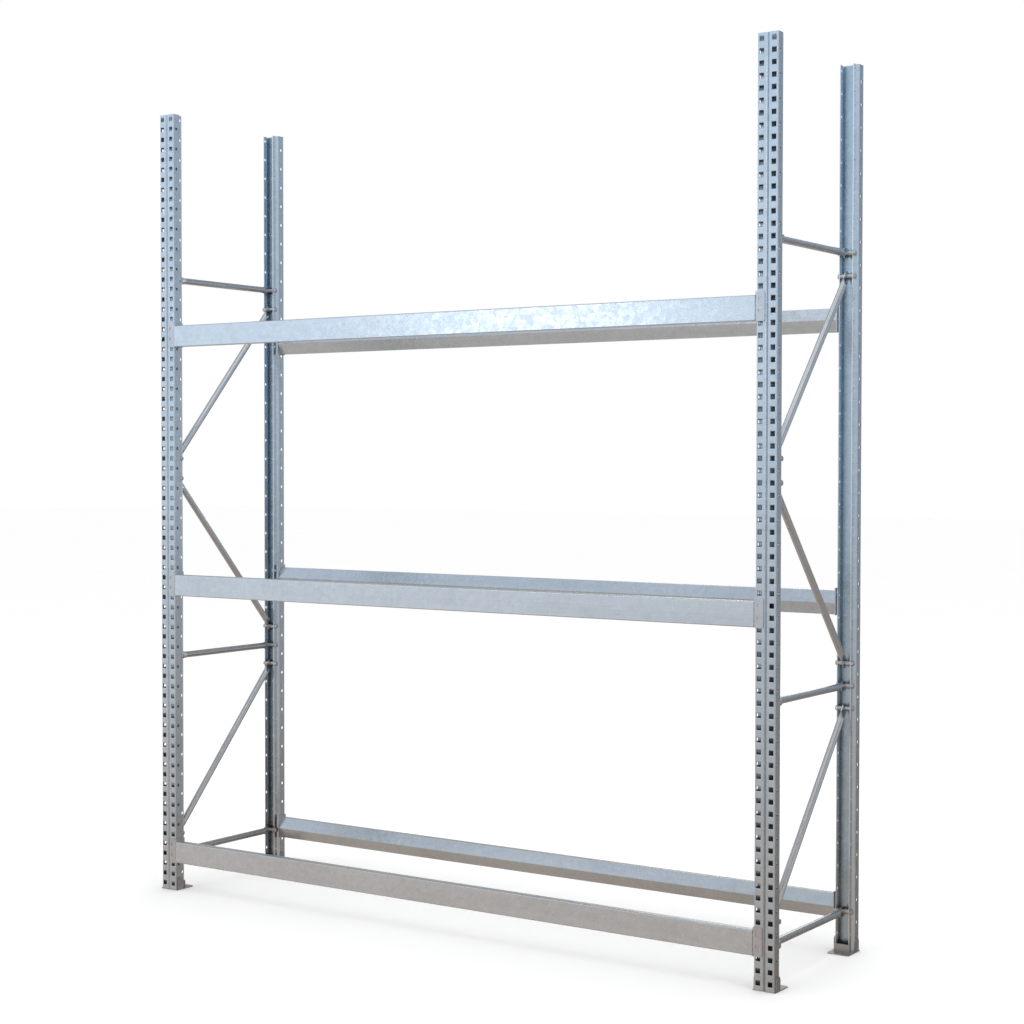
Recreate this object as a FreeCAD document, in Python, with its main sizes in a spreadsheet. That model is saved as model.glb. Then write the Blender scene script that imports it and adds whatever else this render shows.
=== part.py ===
import FreeCAD, Part
import os
import re
import Sketcher
from FreeCAD import Placement, Rotation, Vector

# Tyre storage rack: two bolted upright frames joined by three pairs of hook-in beams.
# Millimetres. X runs along the beams, Y from front to rear, Z up.
# The origin is on the floor, in the middle of the rack's footprint.

SIZES = [
    ("rack_height", "2500", "floor to post tops"),
    ("frame_spacing", "2140", "between the middles of the two upright frames"),
    ("frame_depth", "535", "front posts' web faces to rear posts' web faces"),
    ("post_width", "60", "post section, across the web"),
    ("post_wall", "2", "post sheet"),
    ("side_depth", "27", "web face to where a side wall turns inwards"),
    ("step_run", "5", "depth over which a side wall steps in to its rear flange"),
    ("flange_depth", "14", "rear flange, front to back"),
    ("mouth_width", "42", "outside width across the two rear flanges"),
    ("panel_depth", "20", "web face to the panel that closes the section behind the hook holes"),
    ("post_bend", "3", "outer bend radius at the web's edges"),
    ("groove_width", "8", "stiffening groove down the web"),
    ("groove_depth", "4", "depth of that groove"),
    ("hole_pitch", "32", "between hole rows"),
    ("first_hole", "21", "floor to the first hole row"),
    ("top_margin", "10", "least distance from a hole row to the post's top"),
    ("column_inset", "12", "post's side to a column of hook holes"),
    ("hook_hole_width", "13.5", "square hook hole, across"),
    ("hook_hole_height", "13.5", "square hook hole, up"),
    ("side_hole", "10", "round hole in a side wall, at every second row"),
    ("side_hole_depth", "13", "web face to the side holes' axes"),
    ("bolt_size", "8", "bolt thread diameter"),
    ("bolt_gap", "0.5", "bolt to its holes, on the radius"),
    ("bolt_head_width", "13", "hexagon across flats, bolt head and nut"),
    ("bolt_head_height", "5.3", "bolt head"),
    ("nut_height", "6.5", "nut"),
    ("thread_gap", "0.1", "nut bore over the bolt, on the radius"),
    ("bolt_stick_out", "1.5", "thread past the nut"),
    ("spacer_wall", "2.7", "spacer sleeve, wall"),
    ("spacer_gap", "0.3", "spacer bore over the bolt, on the radius"),
    ("brace_diameter", "20", "brace tube, outside"),
    ("brace_wall", "1.5", "brace tube, wall"),
    ("brace_tab_width", "28", "flattened end of a brace"),
    ("brace_tab_reach", "20", "bolt axis to where the flattened end opens out"),
    ("brace_neck", "18", "length over which a flattened end becomes round"),
    ("beam_height", "68", "beam section, up"),
    ("beam_depth", "38", "beam section, outer face to nose"),
    ("beam_flat", "22", "width of the beam's top and bottom flats"),
    ("beam_wall", "1.5", "beam sheet"),
    ("beam_bend", "3", "outer bend radius of the beam's outer face"),
    ("beam_drop", "8", "middle of a connector's two hooks down to the beam's middle"),
    ("plate_rise", "35", "middle of a connector's two hooks up to its top"),
    ("plate_overlap", "1", "end connector below its beam"),
    ("plate_wall", "3", "end connector sheet"),
    ("plate_bend", "4", "connector's outer bend radius"),
    ("plate_corner", "5", "connector's rounded front corners"),
    ("groove_margin", "1", "groove to the free edge of a connector's front leg"),
    ("plate_margin", "2", "connector's side leg past the beam's nose"),
    ("hook_gap", "0.2", "connector to post, and hook to web"),
    ("hook_side_gap", "1.25", "hook to each side of its hole"),
    ("hook_lift_gap", "1.5", "hook to its hole, top and bottom together, as it is pulled out"),
    ("hook_mark", "1.8", "depth of the pressed-in mark in front of a hook"),
    ("foot_plate", "3", "foot sheet"),
    ("foot_overhang", "32", "foot plate past the post's flanges"),
    ("foot_gap", "0.2", "foot's ears and lip to the post"),
    ("ear_height", "38", "foot's ears above its plate"),
    ("ear_length", "24", "foot's ears, front to back"),
    ("ear_setback", "6", "web face to the ears' front edges"),
    ("ear_flat", "2", "flat left between an ear's two rounded corners"),
    ("lip_height", "22", "foot's inner lip above its plate"),
    ("lip_overlap", "3", "foot's inner lip past each flange"),
    ("anchor_hole", "11", "hole for a floor anchor"),
    ("anchor_reach", "18", "post's flanges to the anchor hole's axis"),
]

# Hole rows count up from 0 at the first hole row.
# A brace is bolted to the front post at the first row and to the rear post at the second.
BRACES = {
    "bottom": (3, 3),
    "lower_diagonal": (5, 21),
    "middle": (23, 23),
    "middle_diagonal": (41, 25),
    "upper_diagonal": (43, 59),
    "top": (61, 61),
}

# A connector hooks into this row and the one above it.
LEVELS = {"low": 3, "middle": 30, "high": 55}

# Outward directions along X and Y.
SIDES = {"left": -1, "right": 1}
FACES = {"front": -1, "rear": 1}

NAMES = {alias for alias, value, note in SIZES}
STEP_DEPTH = "(side_depth + step_run)"
POST_DEPTH = f"({STEP_DEPTH} + flange_depth)"
BOLT_DEPTH = f"({STEP_DEPTH} + flange_depth / 2)"
HOLE_COLUMN = "(post_width / 2 - column_inset)"
BOLT_HOLE = "(bolt_size + 2 * bolt_gap)"
HEX_CORNER = "bolt_head_width / 2 / cos(30)"
SPACER_BORE = "(bolt_size + 2 * spacer_gap)"
HOOK_NECK = "((hook_hole_height - hook_lift_gap) / 2)"
HOOK_DROP = HOOK_NECK
HOOK_WIDTH = "(hook_hole_width - 2 * hook_side_gap)"
PLATE_FALL = "(beam_drop + beam_height / 2 + plate_overlap)"
FOOT_LENGTH = f"({POST_DEPTH} + foot_overhang)"
ROW_COUNT = "(floor((rack_height - first_hole - top_margin) / hole_pitch) + 1)"
NODE_LIMIT = 60

doc = FreeCAD.newDocument("tyre_rack")
nodes = []


# ---- the sheet of sizes, and formulas that use it ----

def make_sheet():
    made = doc.addObject("Spreadsheet::Sheet", "Sizes")
    for row, (alias, value, note) in enumerate(SIZES, start=1):
        made.set(f"A{row}", note)
        made.set(f"B{row}", value)
        made.setAlias(f"B{row}", alias)
    doc.recompute()
    return made


def formula(text):
    """Point each size's name in a formula at its cell."""
    return re.sub(r"[a-z_]+", lambda word: f"Sizes.{word[0]}" if word[0] in NAMES else word[0], str(text))


def bind(thing, prop, text):
    thing.setExpression(prop, formula(text))


def value_of(text):
    return float(sheet.evalExpression(formula(text)))


def stand(thing, across, inward, up):
    """Place an object by three formulas."""
    bind(thing, "Placement.Base.x", across)
    bind(thing, "Placement.Base.y", inward)
    bind(thing, "Placement.Base.z", up)


def keep(thing, name):
    """Count an object as one of the rack's sub-parts."""
    thing.Label = name
    nodes.append(thing)


def frame_x(side):
    return f"{SIDES[side]} * frame_spacing / 2"


def web_y(face):
    return f"{FACES[face]} * frame_depth / 2"


def row_z(row):
    return f"(first_hole + {row} * hole_pitch)"


def facing(face):
    """Turn an object drawn at the front so that it faces out at the rear."""
    return Rotation(Vector(0, 0, 1), 0 if face == "front" else 180)


# ---- sketches and features ----

def start_body(name):
    return doc.addObject("PartDesign::Body", "Body_" + name)


def origin_of(body, role):
    return [feature for feature in body.Origin.OriginFeatures if feature.Role == role][0]


def start_sketch(body, plane, offset="0"):
    """A sketch on one of the body's origin planes, moved along the plane's normal by a formula."""
    sketch = body.newObject("Sketcher::SketchObject", "Sketch")
    sketch.AttachmentSupport = [(origin_of(body, plane), "")]
    sketch.MapMode = "FlatFace"
    bind(sketch, "AttachmentOffset.Base.z", offset)
    return sketch


def pin(sketch, element, end, across, up):
    """Fix one point of a sketch element at a place given by two formulas."""
    for kind, text in (("DistanceX", across), ("DistanceY", up)):
        index = sketch.addConstraint(Sketcher.Constraint(kind, -1, 1, element, end, value_of(text)))
        sketch.setExpression(f"Constraints[{index}]", formula(text))


def draw_outline(sketch, points):
    """A closed outline of straight lines whose corners are pairs of formulas."""
    corners = [Vector(value_of(across), value_of(up), 0) for across, up in points]
    following = corners[1:] + corners[:1]
    first = sketch.GeometryCount
    for start, end in zip(corners, following):
        sketch.addGeometry(Part.LineSegment(start, end), False)
    for index, (across, up) in enumerate(points):
        before = first + (index - 1) % len(points)
        sketch.addConstraint(Sketcher.Constraint("Coincident", before, 2, first + index, 1))
        pin(sketch, first + index, 1, across, up)


def draw_box(sketch, across, up, width, height):
    """A rectangle about a middle point, all formulas."""
    low_x = f"{across} - ({width}) / 2"
    high_x = f"{across} + ({width}) / 2"
    low_y = f"{up} - ({height}) / 2"
    high_y = f"{up} + ({height}) / 2"
    draw_outline(sketch, [(low_x, low_y), (high_x, low_y), (high_x, high_y), (low_x, high_y)])


def draw_circle(sketch, across, up, diameter):
    centre = Vector(value_of(across), value_of(up), 0)
    circle = sketch.addGeometry(Part.Circle(centre, Vector(0, 0, 1), value_of(diameter) / 2), False)
    index = sketch.addConstraint(Sketcher.Constraint("Diameter", circle, value_of(diameter)))
    sketch.setExpression(f"Constraints[{index}]", formula(diameter))
    pin(sketch, circle, 3, across, up)


def pad(body, sketch, length, middle=False, back=False):
    feature = body.newObject("PartDesign::Pad", "Pad")
    feature.Profile = sketch
    feature.Midplane = middle
    feature.Reversed = back
    bind(feature, "Length", length)
    doc.recompute()
    return feature


def pocket(body, sketch, length, middle=False, back=False):
    """Cut, and check that the cut removed something."""
    before = body.Tip.Shape.Volume
    feature = body.newObject("PartDesign::Pocket", "Pocket")
    feature.Profile = sketch
    feature.Midplane = middle
    feature.Reversed = back
    bind(feature, "Length", length)
    doc.recompute()
    if not feature.Shape.Volume < before:
        raise ValueError(f"{body.Name}: {feature.Name} cuts nothing")
    return feature


def repeat(body, feature, axis, count, step):
    pattern = body.newObject("PartDesign::LinearPattern", "LinearPattern")
    pattern.Originals = [feature]
    pattern.Direction = (origin_of(body, axis), [""])
    bind(pattern, "Occurrences", count)
    bind(pattern, "Length", f"({step}) * ({count} - 1)")
    body.Tip = pattern
    doc.recompute()
    return pattern


def fillet(body, picked, radius):
    """Round the edges for which picked(edge's middle point, edge's direction) is true."""
    base = body.Tip
    names = []
    for index, edge in enumerate(base.Shape.Edges, start=1):
        if edge.Curve.TypeId != "Part::GeomLine":
            continue
        middle = edge.valueAt((edge.FirstParameter + edge.LastParameter) / 2)
        if picked(middle, edge.Curve.Direction):
            names.append(f"Edge{index}")
    if not names:
        raise ValueError(f"{body.Name}: no edge to round")
    feature = body.newObject("PartDesign::Fillet", "Fillet")
    feature.Base = (base, names)
    bind(feature, "Radius", radius)
    doc.recompute()
    return feature


def along_z_at(places):
    """Pick the vertical edges that stand at any of the (x, y) pairs of formulas."""
    wanted = [(value_of(across), value_of(inward)) for across, inward in places]

    def picked(middle, direction):
        if abs(direction.z) < 0.99:
            return False
        return any(abs(middle.x - x) + abs(middle.y - y) < 0.01 for x, y in wanted)

    return picked


def along_x_at(places):
    """Pick the edges along X that lie at any of the (y, z) pairs of formulas."""
    wanted = [(value_of(inward), value_of(up)) for inward, up in places]

    def picked(middle, direction):
        if abs(direction.x) < 0.99:
            return False
        return any(abs(middle.y - y) + abs(middle.z - z) < 0.01 for y, z in wanted)

    return picked


def along_y_at(places):
    """Pick the edges along Y that lie at any of the (x, z) pairs of formulas."""
    wanted = [(value_of(across), value_of(up)) for across, up in places]

    def picked(middle, direction):
        if abs(direction.y) < 0.99:
            return False
        return any(abs(middle.x - x) + abs(middle.z - z) < 0.01 for x, z in wanted)

    return picked


# ---- posts ----

def post_outline():
    """Half of the sheet's outer face and of its inner face, from the middle of the web outwards."""
    step_angle = "atan((post_width - mouth_width) / 2 / step_run)"
    step_shift = f"post_wall * tan({step_angle} / 2)"
    groove_angle = "atan(2 * groove_depth / groove_width)"
    groove_shift = f"post_wall * tan({groove_angle} / 2)"
    outer = [
        ("0", "groove_depth"),
        ("groove_width / 2", "0"),
        ("post_width / 2", "0"),
        ("post_width / 2", "side_depth"),
        ("mouth_width / 2", STEP_DEPTH),
        ("mouth_width / 2", POST_DEPTH),
    ]
    inner = [
        ("0", f"groove_depth + post_wall / cos({groove_angle})"),
        (f"groove_width / 2 + {groove_shift}", "post_wall"),
        ("post_width / 2 - post_wall", "post_wall"),
        ("post_width / 2 - post_wall", f"side_depth - {step_shift}"),
        ("mouth_width / 2 - post_wall", f"{STEP_DEPTH} - {step_shift}"),
        ("mouth_width / 2 - post_wall", POST_DEPTH),
    ]
    return outer, inner


def mirrored(points):
    """The other half, without the point on the middle line."""
    return [(f"-({across})", inward) for across, inward in reversed(points[1:])]


def make_post(side, face):
    name = f"post_{face}_{side}"
    body = start_body(name)
    outer, inner = post_outline()
    section = start_sketch(body, "XY_Plane")
    draw_outline(section, mirrored(outer) + outer + list(reversed(inner)) + list(reversed(mirrored(inner))))
    pad(body, section, "rack_height - foot_plate")

    edge = "post_width / 2"
    inner_edge = "(post_width / 2 - post_wall)"
    fillet(body, along_z_at([(edge, "0"), (f"-{edge}", "0")]), "post_bend")
    fillet(body, along_z_at([(inner_edge, "post_wall"), (f"-{inner_edge}", "post_wall")]), "post_bend - post_wall")

    panel = start_sketch(body, "XY_Plane")
    draw_box(panel, "0", "panel_depth + post_wall / 2", "post_width - post_wall", "post_wall")
    pad(body, panel, "rack_height - foot_plate")

    first_row = "first_hole - foot_plate"
    hooks = start_sketch(body, "XZ_Plane")
    for sign in ("-", ""):
        draw_box(hooks, f"{sign}{HOLE_COLUMN}", first_row, "hook_hole_width", "hook_hole_height")
    hook_holes = pocket(body, hooks, "2 * post_wall", middle=True)
    repeat(body, hook_holes, "Z_Axis", ROW_COUNT, "hole_pitch")

    # Bolt holes through the flanges in the odd rows, round holes through the side walls in the even ones.
    for row, inward, diameter in ((1, BOLT_DEPTH, BOLT_HOLE), (2, "side_hole_depth", "side_hole")):
        rounds = start_sketch(body, "YZ_Plane")
        draw_circle(rounds, inward, f"{first_row} + {row} * hole_pitch", diameter)
        round_holes = pocket(body, rounds, "post_width", middle=True)
        repeat(body, round_holes, "Z_Axis", f"floor(({ROW_COUNT} - {row} + 1) / 2)", "2 * hole_pitch")

    body.Placement = Placement(Vector(), facing(face))
    stand(body, frame_x(side), web_y(face), "foot_plate")
    keep(body, name)


# ---- feet ----

def make_foot(side, face):
    """A pressed plate with an ear up each side of the post and a lip across its open side."""
    name = f"foot_{face}_{side}"
    body = start_body(name)
    plate_width = "(post_width + 2 * (foot_gap + foot_plate))"
    plate = start_sketch(body, "XY_Plane")
    draw_box(plate, "0", f"{FOOT_LENGTH} / 2", plate_width, FOOT_LENGTH)
    pad(body, plate, "foot_plate")

    # The outline is drawn up from the bottom of the plate, so ears and lip grow out of it.
    for sign in (-1, 1):
        ear = start_sketch(body, "YZ_Plane", f"{sign} * (post_width / 2 + foot_gap + foot_plate / 2)")
        tall = "(foot_plate + ear_height)"
        draw_box(ear, "ear_setback + ear_length / 2", f"{tall} / 2", "ear_length", tall)
        pad(body, ear, "foot_plate", middle=True)
    lip = start_sketch(body, "XZ_Plane", f"-({POST_DEPTH} + foot_gap + foot_plate / 2)")
    tall = "(foot_plate + lip_height)"
    draw_box(lip, "0", f"{tall} / 2", "mouth_width + 2 * lip_overlap", tall)
    pad(body, lip, "foot_plate", middle=True)

    ear_top = "foot_plate + ear_height"
    ear_ends = [("ear_setback", ear_top), ("ear_setback + ear_length", ear_top)]
    fillet(body, along_x_at(ear_ends), "(ear_length - ear_flat) / 2")
    corners = [(f"{sign} * {plate_width} / 2", FOOT_LENGTH) for sign in (-1, 1)]
    fillet(body, along_z_at(corners), "2 * foot_plate")

    anchor = start_sketch(body, "XY_Plane")
    draw_circle(anchor, "0", f"{POST_DEPTH} + anchor_reach", "anchor_hole")
    pocket(body, anchor, "3 * foot_plate", middle=True)

    body.Placement = Placement(Vector(), facing(face))
    stand(body, frame_x(side), web_y(face), "0")
    keep(body, name)


# ---- braces ----

def make_brace(side, brace, rows):
    """A round tube along the body's Y, flattened at both ends where the bolts go through."""
    front_row, rear_row = rows
    name = f"brace_{side}_{brace}"
    body = start_body(name)
    run = f"(frame_depth - 2 * {BOLT_DEPTH})"
    rise = f"({rear_row - front_row} * hole_pitch)"
    half = f"(sqrt({run} ^ 2 + {rise} ^ 2) / 2)"
    tab_end = f"({half} - brace_tab_reach)"
    round_end = f"({tab_end} - brace_neck)"

    tube = start_sketch(body, "XZ_Plane")
    draw_circle(tube, "0", "0", "brace_diameter")
    draw_circle(tube, "0", "0", "brace_diameter - 2 * brace_wall")
    pad(body, tube, f"2 * {round_end}", middle=True)

    ends = []
    round_section = start_sketch(body, "XZ_Plane", round_end)
    draw_circle(round_section, "0", "0", "brace_diameter")
    flat_section = start_sketch(body, "XZ_Plane", tab_end)
    draw_ellipse(flat_section, "brace_tab_width", "2 * brace_wall")
    neck = body.newObject("PartDesign::AdditiveLoft", "Loft")
    neck.Profile = round_section
    neck.Sections = [flat_section]
    doc.recompute()
    ends.append(neck)

    tab = start_sketch(body, "YZ_Plane")
    draw_box(tab, f"-{half} + brace_tab_reach / 2", "0", "brace_tab_reach", "brace_tab_width")
    ends.append(pad(body, tab, "2 * brace_wall", middle=True))
    eye = start_sketch(body, "YZ_Plane")
    draw_circle(eye, f"-{half}", "0", "brace_tab_width")
    ends.append(pad(body, eye, "2 * brace_wall", middle=True))
    hole = start_sketch(body, "YZ_Plane")
    draw_circle(hole, f"-{half}", "0", BOLT_HOLE)
    ends.append(pocket(body, hole, "4 * brace_wall", middle=True))

    other_end = body.newObject("PartDesign::Mirrored", "Mirrored")
    other_end.Originals = ends
    other_end.MirrorPlane = (origin_of(body, "XZ_Plane"), [""])
    body.Tip = other_end
    doc.recompute()

    body.Placement = Placement(Vector(), Rotation(Vector(1, 0, 0), 1))
    bind(body, "Placement.Rotation.Angle", f"atan({rise} / {run})")
    stand(body, frame_x(side), "0", row_z((front_row + rear_row) / 2))
    keep(body, name)


def draw_ellipse(sketch, height, width):
    """An upright ellipse about the sketch's origin."""
    tall = value_of(height) / 2
    wide = value_of(width) / 2
    ellipse = sketch.addGeometry(Part.Ellipse(Vector(0, tall, 0), Vector(wide, 0, 0), Vector(0, 0, 0)), False)
    sketch.exposeInternalGeometry(ellipse)
    pin(sketch, ellipse, 3, "0", "0")
    long_axis = ellipse + 1
    short_axis = ellipse + 2
    for axis, length in ((long_axis, height), (short_axis, width)):
        index = sketch.addConstraint(Sketcher.Constraint("Distance", axis, value_of(length)))
        sketch.setExpression(f"Constraints[{index}]", formula(length))
    sketch.addConstraint(Sketcher.Constraint("Vertical", long_axis))


# ---- bolts, nuts and spacers ----

def make_hexagon(height):
    hexagon = doc.addObject("Part::Prism", "Hexagon")
    hexagon.Polygon = 6
    bind(hexagon, "Circumradius", HEX_CORNER)
    bind(hexagon, "Height", height)
    return hexagon


def make_rod(diameter, length):
    rod = doc.addObject("Part::Cylinder", "Rod")
    bind(rod, "Radius", f"({diameter}) / 2")
    bind(rod, "Height", length)
    return rod


def drill(solid, diameter, length):
    """Cut a hole up the middle of a solid that stands on its own origin."""
    cut = doc.addObject("Part::Cut", "Drilled")
    cut.Base = solid
    cut.Tool = make_rod(diameter, length)
    return cut


def make_bolt():
    """Head below the origin, shank up the Z axis."""
    head = make_hexagon("bolt_head_height")
    bind(head, "Placement.Base.z", "-bolt_head_height")
    bolt = doc.addObject("Part::Fuse", "Bolt")
    bolt.Base = head
    bolt.Tool = make_rod("bolt_size", "mouth_width + nut_height + bolt_stick_out")
    return bolt


def make_nut():
    return drill(make_hexagon("nut_height"), "bolt_size + 2 * thread_gap", "nut_height")


def make_spacer():
    length = "mouth_width / 2 - post_wall - brace_wall"
    return drill(make_rod(f"{SPACER_BORE} + 2 * spacer_wall", length), SPACER_BORE, length)


def gather(name, pieces):
    group = doc.addObject("Part::Compound", "Group_" + name)
    group.Links = pieces
    keep(group, name)


def make_fasteners(side, face):
    """The bolts through one post, heads towards the beams, with their nuts and spacers."""
    outward = SIDES[side]
    outwards = Rotation(Vector(0, 1, 0), 90 * outward)
    inwards = Rotation(Vector(0, 1, 0), -90 * outward)
    depth = f"{web_y(face)} - {FACES[face]} * {BOLT_DEPTH}"
    groups = {"bolts": [], "nuts": [], "spacers": []}
    for rows in BRACES.values():
        row = rows[0] if face == "front" else rows[1]
        pieces = [
            ("bolts", make_bolt(), outwards, "-mouth_width / 2"),
            ("nuts", make_nut(), outwards, "mouth_width / 2"),
            ("spacers", make_spacer(), outwards, "brace_wall"),
            ("spacers", make_spacer(), inwards, "-brace_wall"),
        ]
        for kind, piece, turn, reach in pieces:
            piece.Placement = Placement(Vector(), turn)
            stand(piece, f"{frame_x(side)} + {outward} * ({reach})", depth, row_z(row))
            groups[kind].append(piece)
    for kind, members in groups.items():
        gather(f"{kind}_{face}_{side}", members)


# ---- beams and their end connectors ----

def make_beam(level, row, face):
    """A closed section: flat outer face, and a V nose on the side that the tyres sit against."""
    name = f"beam_{face}_{level}"
    body = start_body(name)
    slope = "atan((beam_height / 2) / (beam_depth - beam_flat))"
    flat_end = f"(beam_flat - beam_wall * tan({slope} / 2))"
    section = start_sketch(body, "YZ_Plane")
    top = "beam_height / 2"
    draw_outline(section, [
        ("0", f"-{top}"),
        ("beam_flat", f"-{top}"),
        ("beam_depth", "0"),
        ("beam_flat", top),
        ("0", top),
    ])
    inner_top = f"({top} - beam_wall)"
    draw_outline(section, [
        ("beam_wall", f"-{inner_top}"),
        (flat_end, f"-{inner_top}"),
        (f"beam_depth - beam_wall / sin({slope})", "0"),
        (flat_end, inner_top),
        ("beam_wall", inner_top),
    ])
    pad(body, section, "frame_spacing - post_width - 2 * (hook_gap + plate_wall)", middle=True)
    fillet(body, along_x_at([("0", top), ("0", f"-{top}")]), "beam_bend")
    inner_edges = [("beam_wall", inner_top), ("beam_wall", f"-{inner_top}")]
    fillet(body, along_x_at(inner_edges), "beam_bend - beam_wall")

    body.Placement = Placement(Vector(), facing(face))
    middle = f"{row_z(row + 0.5)} - beam_drop"
    stand(body, "0", f"{web_y(face)} + {FACES[face]} * (hook_gap + plate_wall)", middle)
    keep(body, name)


def make_connector(level, row, face, side):
    """An angle plate with two hooks, drawn about the middle of the post's web and of its hooks."""
    name = f"connector_{face}_{level}_{side}"
    body = start_body(name)
    hand = SIDES[side] * FACES[face]
    outer_x = f"{hand} * (post_width / 2 + hook_gap + plate_wall)"
    inner_x = f"{hand} * (post_width / 2 + hook_gap)"
    free_x = f"{hand} * (groove_width / 2 + groove_margin)"
    front_y = "-(hook_gap + plate_wall)"
    back_y = "-hook_gap"
    leg_end = f"{front_y} + beam_depth + plate_margin"

    angle = start_sketch(body, "XY_Plane", f"-{PLATE_FALL}")
    draw_outline(angle, [
        (free_x, front_y),
        (outer_x, front_y),
        (outer_x, leg_end),
        (inner_x, leg_end),
        (inner_x, back_y),
        (free_x, back_y),
    ])
    pad(body, angle, f"{PLATE_FALL} + plate_rise")
    fillet(body, along_z_at([(outer_x, front_y)]), "plate_bend")
    fillet(body, along_z_at([(inner_x, back_y)]), "plate_bend - plate_wall")
    free_corners = [(free_x, "plate_rise"), (free_x, f"-{PLATE_FALL}")]
    fillet(body, along_y_at(free_corners), "plate_corner")

    web_back = "(post_wall + hook_gap)"
    tongue_back = "(post_wall + hook_gap + plate_wall)"
    for step in (-0.5, 0.5):
        hole_z = f"{step} * hole_pitch"
        rest_z = f"({hole_z} - hook_hole_height / 2)"
        hook = start_sketch(body, "YZ_Plane", f"{hand} * {HOLE_COLUMN}")
        draw_outline(hook, [
            ("-(hook_gap + plate_wall / 2)", f"{rest_z} + {HOOK_NECK}"),
            ("-(hook_gap + plate_wall / 2)", rest_z),
            (web_back, rest_z),
            (web_back, f"{rest_z} - {HOOK_DROP}"),
            (tongue_back, f"{rest_z} - {HOOK_DROP}"),
            (tongue_back, f"{rest_z} + {HOOK_NECK}"),
        ])
        pad(body, hook, HOOK_WIDTH, middle=True)
        mark = start_sketch(body, "XZ_Plane", f"-({front_y})")
        draw_box(mark, f"{hand} * {HOLE_COLUMN}", hole_z, HOOK_WIDTH, f"1.5 * {HOOK_NECK}")
        pocket(body, mark, "2 * hook_mark", middle=True)

    body.Placement = Placement(Vector(), facing(face))
    stand(body, frame_x(side), web_y(face), row_z(row + 0.5))
    keep(body, name)


# ---- the whole rack ----

def build_rack():
    for side in SIDES:
        for face in FACES:
            make_post(side, face)
            make_foot(side, face)
            make_fasteners(side, face)
        for brace, rows in BRACES.items():
            make_brace(side, brace, rows)
    for level, row in LEVELS.items():
        for face in FACES:
            make_beam(level, row, face)
            for side in SIDES:
                make_connector(level, row, face, side)


def check_and_write():
    doc.recompute()
    for thing in doc.Objects:
        if "Invalid" in thing.State or "Error" in thing.State:
            raise ValueError(f"{thing.Name} failed: {thing.State}")
    for node in nodes:
        if node.Shape.isNull() or not node.Shape.isValid():
            raise ValueError(f"{node.Label} has no valid shape")
    if len(nodes) > NODE_LIMIT:
        raise ValueError("too many sub-parts")
    os.makedirs("parts", exist_ok=True)
    for node in nodes:
        node.Shape.exportStep(f"parts/{node.Label}.step")
        print(f"{node.Label}: {len(node.Shape.Solids)} solid(s), {node.Shape.Volume / 1000:.1f} cm3")


sheet = make_sheet()
build_rack()
check_and_write()
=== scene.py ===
import math

import bpy
from mathutils import Matrix, Vector


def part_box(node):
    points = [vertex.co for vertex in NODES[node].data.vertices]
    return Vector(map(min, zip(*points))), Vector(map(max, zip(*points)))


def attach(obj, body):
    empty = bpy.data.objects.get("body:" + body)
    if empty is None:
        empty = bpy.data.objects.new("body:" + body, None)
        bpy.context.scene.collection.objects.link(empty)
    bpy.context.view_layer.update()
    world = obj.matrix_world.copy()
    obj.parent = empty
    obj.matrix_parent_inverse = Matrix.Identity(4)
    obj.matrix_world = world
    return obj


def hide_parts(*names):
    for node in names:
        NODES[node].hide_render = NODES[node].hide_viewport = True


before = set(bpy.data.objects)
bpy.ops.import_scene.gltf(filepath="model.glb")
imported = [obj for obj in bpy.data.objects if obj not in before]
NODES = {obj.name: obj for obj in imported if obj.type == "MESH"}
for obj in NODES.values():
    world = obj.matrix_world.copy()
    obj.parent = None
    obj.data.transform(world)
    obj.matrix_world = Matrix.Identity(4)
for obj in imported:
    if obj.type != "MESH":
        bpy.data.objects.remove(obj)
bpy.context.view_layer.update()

# Tyre storage rack in galvanised steel. Metres; X along the beams, Y from front to rear, Z up.

# A post's section and its square holes. A depth is measured from the face of the web.
POST_LOW, POST_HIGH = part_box("post_front_right")
FRAME_X = (POST_LOW.x + POST_HIGH.x) / 2
WEB_Y = -POST_LOW.y
POST_DEPTH = WEB_Y + POST_HIGH.y
PANEL_DEPTH = 0.0205
PANEL_HALF_WIDTH = 0.0180
HOLE_PITCH = 0.032
FIRST_HOLE = 0.021
HOLE_COLUMN = 0.018
ROLL_START = 0.0066
ROLL_END = 0.0084

# Bolts, nuts and spacers: a width across flats, radii, and lengths along X.
HEX_WIDTH = 0.013
HEX_STEP = 0.0004
HEAD_HEIGHT = 0.0053
SHANK_RADIUS = 0.0039
THREAD_ROOT = 0.0034
THREAD_STEPS = 14
THREAD_BEFORE_NUT_END = 0.004
TIP_RADIUS = 0.0031
TIP_LENGTH = 0.0006
NUT_MOUTH = 0.0047
NUT_BORE = 0.0041
NUT_MOUTH_DEPTH = 0.0007
SPACER_BORE = 0.0043
SPACER_EDGE = 0.0006
BRACE_HALF_THICKNESS = 0.0015
SOLID_GAP = 0.006

# Weld beads: places measured from a beam's end (END), outer face (DEPTH) and top or bottom (MARGIN).
BEAD_SIDES = 8
BEAD_STEP = 0.0007
RIPPLE_LENGTH = 0.0028
GROOVE_RADIUS = 0.0019
GROOVE_END = 0.0003
GROOVE_DEPTH = 0.0025
GROOVE_MARGIN = 0.004
EDGE_RADIUS = 0.0014
EDGE_END = 0.0007
EDGE_START_DEPTH = 0.005
EDGE_CORNER_DEPTH = 0.0205
EDGE_NOSE_DEPTH = 0.036
EDGE_NOSE_MARGIN = 0.029
EDGE_PROUD = 0.0002


# ---- small helpers ----

def link(obj):
    bpy.context.scene.collection.objects.link(obj)
    return obj


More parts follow.
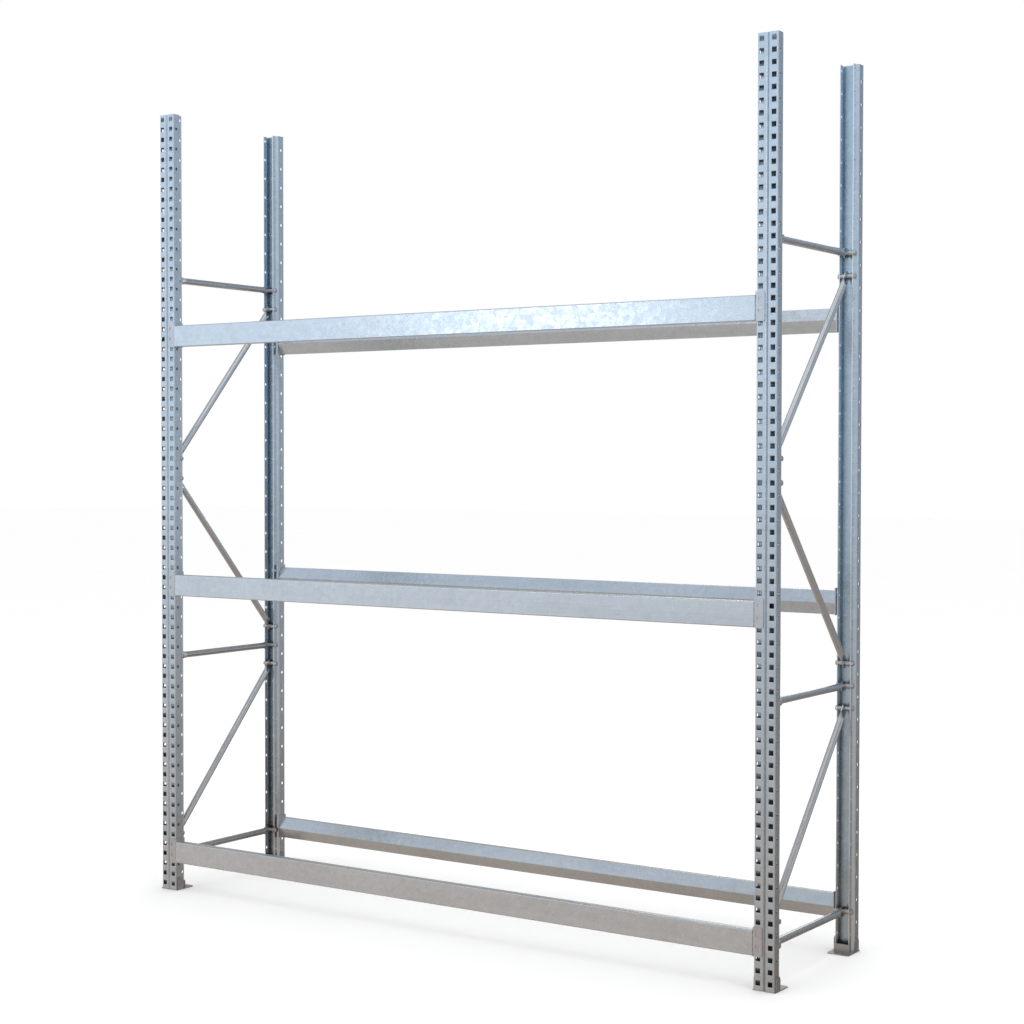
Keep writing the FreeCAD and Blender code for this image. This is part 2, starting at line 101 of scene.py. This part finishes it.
def make_mesh(name, points, faces, smooth_angle=35):
    """A mesh object whose faces are smooth up to an angle in degrees."""
    mesh = bpy.data.meshes.new(name)
    mesh.from_pydata([tuple(point) for point in points], [], faces)
    mesh.validate()
    mesh.polygons.foreach_set("use_smooth", [True] * len(mesh.polygons))
    mesh.update()
    mesh.set_sharp_from_angle(angle=math.radians(smooth_angle))
    return link(bpy.data.objects.new(name, mesh))


def paint(obj, material):
    obj.data.materials.clear()
    obj.data.materials.append(material)


def stacked_boxes(node):
    """The boxes of a CAD node's solids, told apart by the gaps between them along Z."""
    corners = [vertex.co.copy() for vertex in NODES[node].data.vertices]
    corners.sort(key=lambda corner: corner.z)
    groups = [[corners[0]]]
    for corner in corners[1:]:
        if corner.z - groups[-1][-1].z > SOLID_GAP:
            groups.append([])
        groups[-1].append(corner)
    boxes = []
    for group in groups:
        low = Vector([min(corner[i] for corner in group) for i in range(3)])
        high = Vector([max(corner[i] for corner in group) for i in range(3)])
        boxes.append((low, high))
    return boxes


# ---- node helpers for materials ----

def add_node(tree, kind, settings=None, inputs=None):
    """A shader node with its settings and its inputs, each a value or another node's output."""
    made = tree.nodes.new(kind)
    for name, value in (settings or {}).items():
        setattr(made, name, value)
    for name, value in (inputs or {}).items():
        if isinstance(value, bpy.types.NodeSocket):
            tree.links.new(value, made.inputs[name])
        else:
            made.inputs[name].default_value = value
    return made


def maths(tree, operation, first, second=0.0, third=0.0, clamp=False):
    settings = {"operation": operation, "use_clamp": clamp}
    return add_node(tree, "ShaderNodeMath", settings, {0: first, 1: second, 2: third}).outputs[0]


def times(tree, first, *others):
    """The product of two or more values."""
    for other in others:
        first = maths(tree, "MULTIPLY", first, other)
    return first


def vector_maths(tree, operation, first, second):
    settings = {"operation": operation}
    return add_node(tree, "ShaderNodeVectorMath", settings, {0: first, 1: second}).outputs[0]


def scaled(tree, vector, factors):
    return vector_maths(tree, "MULTIPLY", vector, factors)


def offset_by_colour(tree, colour, factor):
    """A random colour as a vector centred on zero, times a factor."""
    return scaled(tree, vector_maths(tree, "SUBTRACT", colour, (0.5, 0.5, 0.5)), (factor,) * 3)


def noise(tree, vector, scale, detail=2.0, roughness=0.5, output="Fac"):
    made = add_node(tree, "ShaderNodeTexNoise", {}, {
        "Vector": vector, "Scale": scale, "Detail": detail, "Roughness": roughness})
    return made.outputs[output]


def cells(tree, vector, size):
    """A random colour for each cell of a pattern with cells of about a size."""
    made = add_node(tree, "ShaderNodeTexVoronoi", {}, {
        "Vector": vector, "Scale": 1 / size, "Randomness": 1.0})
    return made.outputs["Color"]


def spread(tree, value, low, high, to_low=0.0, to_high=1.0):
    """Remap a value from one range to another, clamped."""
    made = add_node(tree, "ShaderNodeMapRange", {"clamp": True}, {
        "Value": value, "From Min": low, "From Max": high, "To Min": to_low, "To Max": to_high})
    return made.outputs["Result"]


def mixed(tree, share, first, second, blend="MIX"):
    """The first colour, blended with a share from 0 to 1 of the second."""
    made = add_node(tree, "ShaderNodeMix", {"data_type": "RGBA", "blend_type": blend}, {
        0: share, 6: first, 7: second})
    return made.outputs[2]


def weighed(tree, parts):
    """The sum of (value - 0.5) * weight over the parts, plus 0.5."""
    total = 0.5
    for value, weight in parts:
        total = maths(tree, "MULTIPLY_ADD", maths(tree, "SUBTRACT", value, 0.5), weight, total)
    return total


def object_place(tree):
    return add_node(tree, "ShaderNodeTexCoord").outputs["Object"]


def components(tree, vector):
    return add_node(tree, "ShaderNodeSeparateXYZ", {}, {"Vector": vector}).outputs


def channels(tree, colour):
    return add_node(tree, "ShaderNodeSeparateColor", {}, {"Color": colour}).outputs


def bumped(tree, height, strength, distance):
    made = add_node(tree, "ShaderNodeBump", {}, {
        "Strength": strength, "Distance": distance, "Height": height})
    return made.outputs["Normal"]


def new_material(name, viewport):
    material = bpy.data.materials.new(name)
    material.use_nodes = True
    material.node_tree.nodes.clear()
    material.diffuse_color = viewport
    return material


def finish_material(tree, looks):
    shader = add_node(tree, "ShaderNodeBsdfPrincipled", {}, looks)
    add_node(tree, "ShaderNodeOutputMaterial", {}, {"Surface": shader.outputs[0]})


# ---- zinc ----

def crystals(tree, place, flake):
    """Colours of large and small crystals, and the fine needles that run inside the large ones."""
    wander = offset_by_colour(tree, noise(tree, place, 130.0, 3.0, 0.6, "Color"), 0.5 * flake)
    bent = vector_maths(tree, "ADD", place, wander)
    large = cells(tree, bent, flake)
    small = cells(tree, bent, flake / 2.8)
    # Each crystal's needles have a direction of their own.
    shifted = vector_maths(tree, "ADD", scaled(tree, place, (900.0,) * 3), scaled(tree, large, (60.0,) * 3))
    stretch = vector_maths(tree, "ADD", large, (0.05, 0.05, 0.05))
    needles = noise(tree, scaled(tree, shifted, stretch), 1.0, 1.0)
    return large, small, needles


def post_place(tree, place):
    """Where a point lies on its post: off the middle line, behind the web's face, and above the floor."""
    x, y, z = components(tree, place)
    across = maths(tree, "ABSOLUTE", maths(tree, "SUBTRACT", maths(tree, "ABSOLUTE", x), FRAME_X))
    depth = maths(tree, "SUBTRACT", WEB_Y, maths(tree, "ABSOLUTE", y))
    return across, depth, z


def rolled_edge(tree, across, depth, up):
    """How far the sheet rises away from the rounded edge of the nearest punched hole, on the web."""
    step = maths(tree, "DIVIDE", maths(tree, "SUBTRACT", up, FIRST_HOLE), HOLE_PITCH)
    off_row = maths(tree, "ABSOLUTE", maths(tree, "SUBTRACT", step, maths(tree, "ROUND", step)))
    rows = times(tree, off_row, HOLE_PITCH)
    columns = maths(tree, "ABSOLUTE", maths(tree, "SUBTRACT", across, HOLE_COLUMN))
    away = maths(tree, "MAXIMUM", rows, columns)
    web = spread(tree, depth, 0.003, 0.001)
    return times(tree, spread(tree, away, ROLL_START, ROLL_END), web)


def post_painted_shade_and_highlight(tree, colour, across, depth):
    """Painted shade on the recessed closing panel, and painted highlights on the edges of the open side."""
    behind = spread(tree, depth, PANEL_DEPTH - 0.0020, PANEL_DEPTH)
    # Painted shade: the closing panel deep in the channel is darkened and tinted blue in its colour.
    painted_shade_recess = times(tree, behind, spread(tree, across, PANEL_HALF_WIDTH + 0.0012, PANEL_HALF_WIDTH))
    colour = mixed(tree, times(tree, painted_shade_recess, 0.6), colour, (0.58, 0.70, 0.76, 1), "MULTIPLY")
    # Painted highlight: the lips of the open side are lightened towards white in their colour.
    painted_highlight_lips = spread(tree, depth, POST_DEPTH - 0.0050, POST_DEPTH - 0.0025)
    return mixed(tree, times(tree, painted_highlight_lips, 0.75), colour, (0.97, 0.98, 0.99, 1))


def darker_warmer_towards_floor(tree, colour, place, smudges):
    """A warmer, darker colour, uneven with the smudges, that thickens towards the floor."""
    uneven = maths(tree, "ADD", components(tree, place)[2], times(tree, smudges, 0.4))
    floor_warmth = times(tree, spread(tree, uneven, 1.5, 0.2), 0.8)
    return mixed(tree, floor_warmth, colour, (0.84, 0.75, 0.67, 1), "MULTIPLY")


def zinc(name, dark, light, flake=0.011, flake_tilt=0.018, grain_axis=(1, 1, 1), rough=(0.24, 0.36),
         smudge_tone=0.35, dull=0.0, post=False):
    """Galvanised sheet: crystals that tilt and tint the surface, rolling streaks, stains, and a warmer,
    darker tone towards the floor.

    flake is a crystal's size. grain_axis squeezes the streaks' pattern, small along the rolling
    direction. dull mixes in the chalky bloom of weathered zinc. post adds the punched holes' rolled
    edges, painted shade on the recessed closing panel and painted highlights on the lips of its open side.
    direction. dull mixes in the chalky bloom of weathered zinc. post adds what only a post shows.
    """
    material = new_material(name, (*light, 1))
    tree = material.node_tree
    place = object_place(tree)
    large, small, needles = crystals(tree, place, flake)
    large_parts = channels(tree, large)
    small_parts = channels(tree, small)

    rolled = scaled(tree, place, grain_axis)
    streaks = noise(tree, rolled, 260.0, 3.0, 0.65)
    broad = noise(tree, rolled, 34.0, 2.0, 0.5)
    smudges = noise(tree, place, 5.5, 5.0, 0.62)
    blots = noise(tree, place, 38.0, 4.0, 0.6)
    specks = spread(tree, noise(tree, place, 620.0, 2.0, 0.5), 0.66, 0.74)

    tone = weighed(tree, [
        (large_parts[0], 0.16), (small_parts[0], 0.072), (needles, 0.04), (streaks, 0.30), (broad, 0.24),
        (smudges, smudge_tone), (blots, 0.4 * smudge_tone)])
    tone = maths(tree, "SUBTRACT", tone, times(tree, specks, 0.25), clamp=True)
    colour = mixed(tree, tone, (*dark, 1), (*light, 1))

    # White bloom in the stains, with softer gloss there.
    stains = maths(tree, "ADD", smudges, times(tree, blots, 0.5))
    bloom = spread(tree, stains, 0.84, 1.05, 0.0, 0.10 + dull)
    colour = mixed(tree, bloom, colour, (0.62, 0.63, 0.64, 1))
    gloss = weighed(tree, [(large_parts[1], 0.5), (small_parts[1], 0.25), (streaks, 0.35), (blots, 0.7)])
    roughness = spread(tree, maths(tree, "ADD", gloss, bloom), 0.1, 0.95, *rough)

    fine = maths(tree, "ADD", times(tree, streaks, 0.6), times(tree, needles, 0.25))
    height = maths(tree, "ADD", fine, times(tree, noise(tree, place, 16.0, 2.0), 3.0))
    if post:
        across, depth, up = post_place(tree, place)
        height = maths(tree, "ADD", height, times(tree, rolled_edge(tree, across, depth, up), 3.0))
        # Painted shade in the post's recessed panel and painted highlights on its lips.
        colour = post_painted_shade_and_highlight(tree, colour, across, depth)
    colour = darker_warmer_towards_floor(tree, colour, place, smudges)

    normal = bumped(tree, height, 0.35, 0.0004)
    normal = vector_maths(tree, "ADD", normal, offset_by_colour(tree, large, flake_tilt))
    normal = vector_maths(tree, "ADD", normal, offset_by_colour(tree, small, 0.5 * flake_tilt))
    normal = add_node(tree, "ShaderNodeVectorMath", {"operation": "NORMALIZE"}, {0: normal}).outputs[0]
    finish_material(tree, {
        "Base Color": colour, "Metallic": 1.0, "Roughness": roughness, "Normal": normal})
    return material


def weld_metal():
    """Weld beads: rippled, darker and warmer than the sheet, with heat tint in patches."""
    material = new_material("weld", (0.4, 0.4, 0.4, 1))
    tree = material.node_tree
    place = object_place(tree)
    ripples = noise(tree, place, 900.0, 3.0, 0.6)
    burns = spread(tree, noise(tree, place, 120.0, 3.0, 0.6), 0.35, 0.65)
    colour = mixed(tree, burns, (0.30, 0.28, 0.27, 1), (0.60, 0.62, 0.64, 1))
    roughness = spread(tree, ripples, 0.3, 0.7, 0.32, 0.52)
    finish_material(tree, {
        "Base Color": colour, "Metallic": 1.0, "Roughness": roughness,
        "Normal": bumped(tree, ripples, 0.5, 0.0003)})
    return material


# The zinc of each kind of node, by the first word of its name. Fasteners have the last one.
MATERIALS = {
    "post": zinc("post_zinc", (0.43, 0.52, 0.59), (0.81, 0.87, 0.92), grain_axis=(1, 1, 0.02), post=True),
    "foot": zinc("foot_zinc", (0.34, 0.35, 0.37), (0.66, 0.67, 0.68), flake=0.008, rough=(0.34, 0.52),
                 smudge_tone=0.8, dull=0.15),
    "brace": zinc("brace_zinc", (0.48, 0.51, 0.54), (0.80, 0.82, 0.84), flake=0.006, flake_tilt=0.015,
                  rough=(0.16, 0.32), dull=0.05),
    "beam": zinc("beam_zinc", (0.50, 0.59, 0.67), (0.87, 0.92, 0.96), flake=0.013,
                 grain_axis=(0.02, 1, 1), rough=(0.20, 0.36)),
    "connector": zinc("connector_zinc", (0.44, 0.48, 0.53), (0.80, 0.83, 0.86), flake=0.009,
                      rough=(0.26, 0.42)),
    "fastener": zinc("fastener_zinc", (0.42, 0.44, 0.46), (0.78, 0.79, 0.80), flake=0.003,
                     flake_tilt=0.01, rough=(0.20, 0.36)),
}
WELD = weld_metal()


def paint_cad():
    for name, obj in NODES.items():
        material = MATERIALS.get(name.split("_")[0], MATERIALS["fastener"])
        for slot in obj.material_slots:
            slot.material = material


# ---- turned shapes ----

def loft(faces, rings, count, closed=True, flip=False):
    """Join rings of points, each given by its first point's index, and close the ends if asked."""
    for first, second in zip(rings, rings[1:]):
        for k in range(count):
            after = (k + 1) % count
            face = (first + k, first + after, second + after, second + k)
            faces.append(face[::-1] if flip else face)
    if closed:
        for ring, turned in ((rings[0], True), (rings[-1], False)):
            face = tuple(ring + k for k in range(count))
            faces.append(face[::-1] if turned != flip else face)


def revolve(points, faces, centre, stations, count=48, turn=0.0, closed=True):
    """Revolve stations about the X axis through a centre.

    A station is (x, radius). One on the hexagon is (x, None, lean, circle): the corners lean along X
    by 30 degrees from that circle outwards, which makes a chamfer. turn is the hexagon's angle.
    """
    flip = stations[-1][0] < stations[0][0]
    rings = []
    for station in stations:
        rings.append(len(points))
        for k in range(count):
            angle = 2 * math.pi * k / count + turn
            x, radius = station[:2]
            if radius is None:
                lean, circle = station[2:]
                local = (angle - turn) % (math.pi / 3) - math.pi / 6
                radius = HEX_WIDTH / 2 / math.cos(local)
                x += lean * max(radius - circle, 0) * math.tan(math.radians(30))
            y = centre.y + radius * math.cos(angle)
            z = centre.z + radius * math.sin(angle)
            points.append(Vector((x, y, z)))
    loft(faces, rings, count, closed, flip)


def hexagon(start, end, both_chamfered):
    """Stations of a hexagon between two places, chamfered at its end, and at its start if asked."""
    sign = 1 if end > start else -1
    circle = 0.47 * HEX_WIDTH
    if both_chamfered:
        stations = [(start, circle), (start, None, sign, circle)]
    else:
        above = start + sign * HEX_STEP
        stations = [(start, circle), (above, circle), (above, None, 0, 0)]
    return stations + [(end, None, -sign, circle), (end, circle)]


# ---- bolts, nuts and spacers ----

def shank(seat, nut_start, nut_end, tip, outward):
    """Stations of a bolt's shank: plain, then threaded from inside the nut up to a chamfered tip."""
    stations = [(seat, SHANK_RADIUS), (nut_start, SHANK_RADIUS)]
    start = nut_end - outward * THREAD_BEFORE_NUT_END
    length = abs(tip - outward * TIP_LENGTH - start)
    for k in range(THREAD_STEPS + 1):
        radius = SHANK_RADIUS if k % 2 else THREAD_ROOT
        stations.append((start + outward * length * k / THREAD_STEPS, radius))
    return stations + [(tip, TIP_RADIUS)]


def sleeve(start, end, outside, sign):
    """Stations of a spacer with bevelled ends, from its bore round its outside and back."""
    edge = SPACER_EDGE
    return [
        (start, SPACER_BORE), (start, outside - edge), (start + sign * edge, outside),
        (end - sign * edge, outside), (end, outside - edge), (end, SPACER_BORE), (start, SPACER_BORE)]


def ends_along_x(box, outward):
    """A box's inner and outer end along X."""
    low, high = box
    return (low.x, high.x) if outward > 0 else (high.x, low.x)


def fasteners(face, side):
    """Chamfered bolts and nuts, and rolled spacers, in the places of the CAD ones."""
    post_low, post_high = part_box(f"post_{face}_{side}")
    frame_middle = (post_low.x + post_high.x) / 2
    outward = 1 if side == "right" else -1
    shapes = {kind: ([], []) for kind in ("bolts", "nuts", "spacers")}
    boxes = {kind: stacked_boxes(f"{kind}_{face}_{side}") for kind in shapes}

    for index, (bolt, nut) in enumerate(zip(boxes["bolts"], boxes["nuts"])):
        centre = (bolt[0] + bolt[1]) / 2
        head, tip = ends_along_x(bolt, outward)
        nut_start, nut_end = ends_along_x(nut, outward)
        seat = head + outward * HEAD_HEIGHT
        turn = 0.35 * index + (0.2 if side == "left" else 0.0)
        revolve(*shapes["bolts"], centre, hexagon(seat, head, False), turn=turn)
        revolve(*shapes["bolts"], centre, shank(seat, nut_start, nut_end, tip, outward), count=32)
        mouth = [(nut_end, NUT_MOUTH), (nut_end - outward * NUT_MOUTH_DEPTH, NUT_BORE)]
        stations = hexagon(nut_start, nut_end, True) + mouth
        revolve(*shapes["nuts"], centre, stations, turn=turn + 0.5, closed=False)

    for low, high in boxes["spacers"]:
        outside = (high.z - low.z) / 2
        for end, sign in ((high.x, 1), (low.x, -1)):
            stations = sleeve(frame_middle + sign * BRACE_HALF_THICKNESS, end, outside, sign)
            revolve(*shapes["spacers"], (low + high) / 2, stations, closed=False)

    for kind, (points, faces) in shapes.items():
        made = make_mesh(f"fine_{kind}_{face}_{side}", points, faces)
        paint(made, MATERIALS["fastener"])
        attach(made, "uprights")
        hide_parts(f"{kind}_{face}_{side}")


# ---- weld beads ----

def even_steps(path):
    """Points at small even steps along a path, each with its distance from the start, and the length."""
    total = 0.0
    spaced = []
    for start, end in zip(path, path[1:]):
        length = (end - start).length
        steps = max(1, round(length / BEAD_STEP))
        spaced += [(start.lerp(end, k / steps), total + length * k / steps) for k in range(steps)]
        total += length
    spaced.append((path[-1], total))
    return spaced, total


def bead(points, faces, path, radius):
    """A rippled bead with tapered ends along a list of points, all in a plane of constant x."""
    spaced, total = even_steps(path)
    across = Vector((1, 0, 0))
    rings = []
    for index, (centre, along) in enumerate(spaced):
        before = spaced[max(index - 1, 0)][0]
        after = spaced[min(index + 1, len(spaced) - 1)][0]
        up = (after - before).normalized().cross(across).normalized()
        taper = min(1.0, 0.45 + 400 * min(along, total - along))
        ripple = 0.13 * math.sin(along * 2 * math.pi / RIPPLE_LENGTH)
        unevenness = 0.05 * math.sin(along * 930 + path[0].x * 40)
        swell = 1 + ripple + unevenness
        rings.append(len(points))
        for k in range(BEAD_SIDES):
            angle = 2 * math.pi * k / BEAD_SIDES
            spoke = across * math.cos(angle) + up * math.sin(angle)
            points.append(centre + spoke * radius * taper * swell)
    loft(faces, rings, BEAD_SIDES)


def welds(face, level):
    """Beads where a beam meets the side legs of its two connectors: down its web, and along both edges."""
    low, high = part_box(f"beam_{face}_{level}")
    outward = -1 if face == "front" else 1
    outer = low.y if face == "front" else high.y
    points, faces = [], []
    for end, inward in ((low.x, 1), (high.x, -1)):
        x = end + inward * GROOVE_END
        y = outer - outward * GROOVE_DEPTH
        path = [Vector((x, y, low.z + GROOVE_MARGIN)), Vector((x, y, high.z - GROOVE_MARGIN))]
        bead(points, faces, path, GROOVE_RADIUS)
        x = end + inward * EDGE_END
        for z, sign in ((low.z, -1), (high.z, 1)):
            proud = z + sign * EDGE_PROUD
            path = [
                Vector((x, outer - outward * EDGE_START_DEPTH, proud)),
                Vector((x, outer - outward * EDGE_CORNER_DEPTH, proud)),
                Vector((x, outer - outward * EDGE_NOSE_DEPTH, z - sign * EDGE_NOSE_MARGIN))]
            bead(points, faces, path, EDGE_RADIUS)
    made = make_mesh(f"welds_{face}_{level}", points, faces, 60)
    paint(made, WELD)
    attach(made, f"{face}_{level}_beam")


# ---- stage, light and camera ----

def make_floor():
    """A pale floor that the metal doesn't mirror."""
    size = 40.0
    corners = [(-size, -size, 0), (size, -size, 0), (size, size, 0), (-size, size, 0)]
    floor = make_mesh("floor", corners, [(0, 1, 2, 3)])
    material = new_material("pale_floor", (0.9, 0.9, 0.9, 1))
    tree = material.node_tree
    tone = spread(tree, noise(tree, object_place(tree), 1.5, 4.0), 0.2, 0.8)
    colour = mixed(tree, tone, (0.980, 0.980, 0.980, 1), (0.995, 0.995, 0.995, 1))
    finish_material(tree, {"Base Color": colour, "Roughness": 0.9, "Specular IOR Level": 0.0})
    floor.data.materials.append(material)
    floor.visible_glossy = False


# The room's colours that the metal mirrors, from straight down (0) to straight up (1).
ROOM = [
    (0.00, (0.44, 0.38, 0.34)), (0.20, (0.55, 0.49, 0.45)), (0.37, (0.60, 0.53, 0.48)),
    (0.43, (0.76, 0.72, 0.70)), (0.475, (0.80, 0.86, 0.94)), (0.56, (0.84, 0.94, 1.07)),
    (0.72, (0.66, 0.76, 0.90)), (0.88, (0.47, 0.48, 0.50)), (1.00, (0.42, 0.43, 0.45))]


def room_colour(tree, x, y, height):
    """The room's colour by height, with less light and less blue above eye level at the rear left."""
    ramp = add_node(tree, "ShaderNodeValToRGB", {}, {"Fac": height})
    elements = ramp.color_ramp.elements
    while len(elements) < len(ROOM):
        elements.new(0.5)
    for element, (where, colour) in zip(elements, ROOM):
        element.position = where
        element.color = (*colour, 1)
    behind = times(tree, spread(tree, y, 0.1, 0.6), spread(tree, x, 0.2, -0.2))
    behind = times(tree, behind, spread(tree, height, 0.50, 0.56))
    return mixed(tree, behind, ramp.outputs["Color"], (0.68, 0.60, 0.50, 1), "MULTIPLY")


def room_strength(tree, x, y, height):
    """The room's brightness: highest to the front left, with a dimmer band and a grey wall."""
    toward = maths(tree, "MULTIPLY_ADD", x, -0.5, 0.5)
    toward = maths(tree, "ADD", toward, times(tree, y, -0.5))
    strength = spread(tree, toward, 0.0, 0.95, 0.74, 1.0)
    # The band is at eye level, straight ahead of the rack.
    band = times(tree, spread(tree, height, 0.42, 0.46), spread(tree, height, 0.58, 0.52))
    ahead = times(tree, spread(tree, x, -0.60, -0.40), spread(tree, y, -0.3, -0.6))
    # The wall is behind the rack and to the right.
    wall = times(tree, spread(tree, x, 0.15, 0.35), spread(tree, x, 0.74, 0.62))
    wall = times(tree, wall, spread(tree, y, 0.45, 0.65))
    dimmer = maths(tree, "MAXIMUM", times(tree, band, ahead, 0.32), times(tree, wall, 0.53))
    return times(tree, strength, maths(tree, "SUBTRACT", 1.0, dimmer))


def make_world():
    """A room that only the metal mirrors: warm below, cool at eye level, grey above. The rest is white."""
    world = bpy.data.worlds.new("studio")
    bpy.context.scene.world = world
    world.use_nodes = True
    tree = world.node_tree
    tree.nodes.clear()
    direction = add_node(tree, "ShaderNodeTexCoord").outputs["Generated"]
    x, y, z = components(tree, direction)
    height = maths(tree, "MULTIPLY_ADD", z, 0.5, 0.5)
    room = add_node(tree, "ShaderNodeBackground", {}, {
        "Color": room_colour(tree, x, y, height), "Strength": room_strength(tree, x, y, height)})
    plain = add_node(tree, "ShaderNodeBackground", {}, {"Color": (1.0, 1.0, 1.0, 1), "Strength": 1.0})
    mirrored = add_node(tree, "ShaderNodeLightPath").outputs["Is Glossy Ray"]
    chosen = add_node(tree, "ShaderNodeMixShader", {}, {
        0: mirrored, 1: plain.outputs[0], 2: room.outputs[0]})
    add_node(tree, "ShaderNodeOutputWorld", {}, {"Surface": chosen.outputs[0]})


def soft_light(name, place, target, size, power, colour):
    """A rectangular lamp at a place, turned to a target. Its power is in watts."""
    data = bpy.data.lights.new(name, "AREA")
    data.shape = "RECTANGLE"
    data.size, data.size_y = size
    data.energy = power
    data.color = colour
    lamp = link(bpy.data.objects.new(name, data))
    lamp.location = place
    lamp.rotation_euler = (Vector(target) - Vector(place)).to_track_quat("-Z", "Y").to_euler()


def make_lights():
    soft_light("key", (-2.8, -5.2, 2.35), (0.3, 0.0, 1.7), (1.1, 0.8), 5.5, (0.95, 0.98, 1.0))
    soft_light("top", (0.5, -0.5, 6.5), (0.2, 0.0, 0.0), (6.0, 6.0), 60, (0.96, 0.98, 1.0))
    soft_light("right", (5.5, -1.5, 2.6), (0.6, 0.0, 1.2), (1.6, 2.6), 15, (1.0, 0.97, 0.94))
    soft_light("rear", (-1.5, 6.0, 3.4), (0.0, 0.0, 1.2), (3.0, 2.0), 30, (0.96, 0.98, 1.0))


def make_camera():
    """The viewpoint: to the right of the front, a little above the middle, turned left."""
    data = bpy.data.cameras.new("camera")
    data.sensor_width = 36.0
    data.lens = 67.65
    data.clip_start, data.clip_end = 0.1, 200
    camera = link(bpy.data.objects.new("camera", data))
    yaw, pitch, roll = math.radians(34.15), math.radians(1.494), math.radians(0.06)
    ahead = Vector((
        -math.sin(yaw) * math.cos(pitch), math.cos(yaw) * math.cos(pitch), -math.sin(pitch)))
    right = Vector((math.cos(yaw), math.sin(yaw), 0))
    up = right.cross(ahead)
    tilted_right = right * math.cos(roll) + up * math.sin(roll)
    tilted_up = up * math.cos(roll) - right * math.sin(roll)
    turn = Matrix((tilted_right, tilted_up, -ahead)).transposed()
    camera.matrix_world = Matrix.Translation((3.333, -4.781, 1.3875)) @ turn.to_4x4()
    bpy.context.scene.camera = camera


# ---- the scene ----

paint_cad()
for face_name in ("front", "rear"):
    for side_name in ("left", "right"):
        fasteners(face_name, side_name)
    for level_name in ("low", "middle", "high"):
        welds(face_name, level_name)
make_floor()
make_world()
make_lights()
make_camera()
bpy.context.scene.view_settings.view_transform = "Standard"
